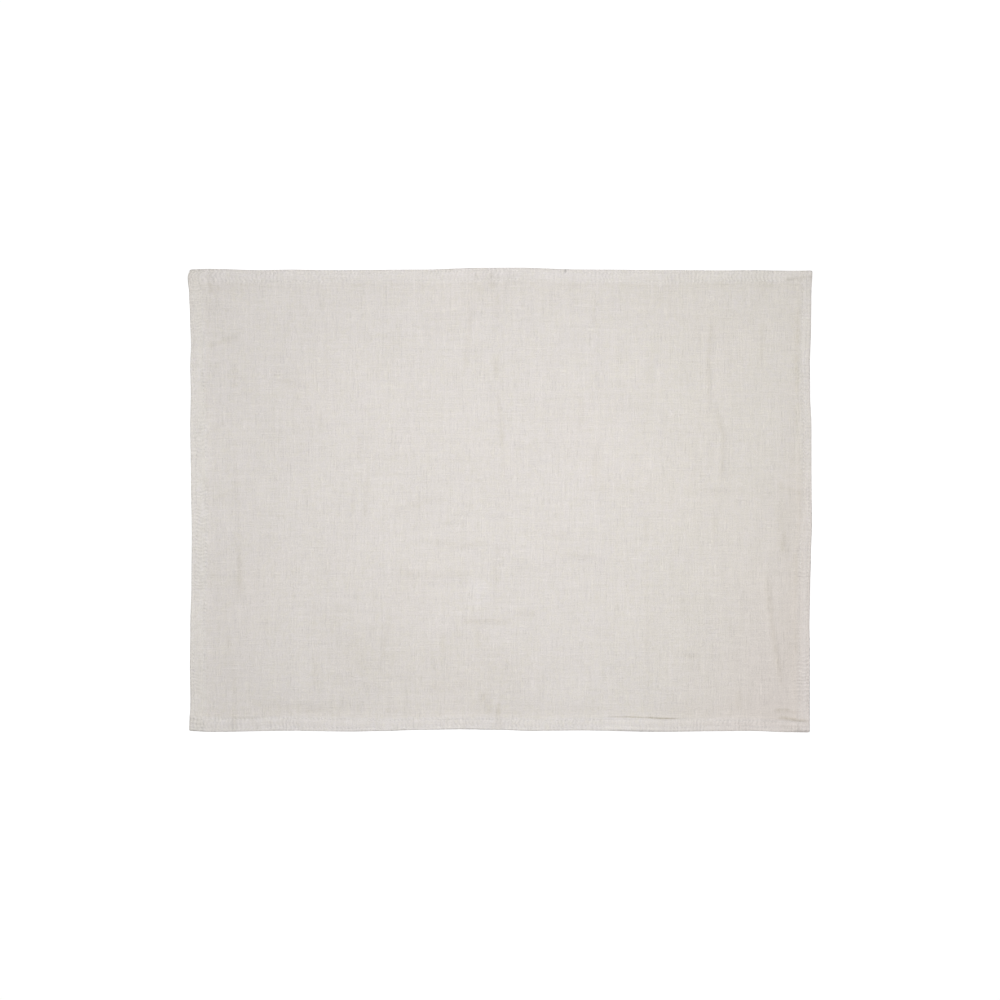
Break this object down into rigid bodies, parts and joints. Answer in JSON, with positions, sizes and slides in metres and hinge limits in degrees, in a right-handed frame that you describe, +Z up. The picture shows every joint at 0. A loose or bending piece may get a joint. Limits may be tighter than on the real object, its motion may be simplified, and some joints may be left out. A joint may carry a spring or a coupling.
{
  "type": "linen placemat",
  "caption": "Rectangular woven linen placemat with double-turned stitched hems and soft fold creases, lying flat.",
  "frame": {"origin": "centre of the mat's underside, on the table", "axes": "+X along the long side, to the right of the mat as seen from above; +Y along the short side; +Z up, out of the right side of the cloth"},
  "size_m": [0.483, 0.3594, 0.0029],
  "materials": {
    "linen": "matte plain weave, undyed off-white linen with slubs"
  },
  "bodies": {
    "root": {"placemat": "linen"}
  },
  "joints": []
}
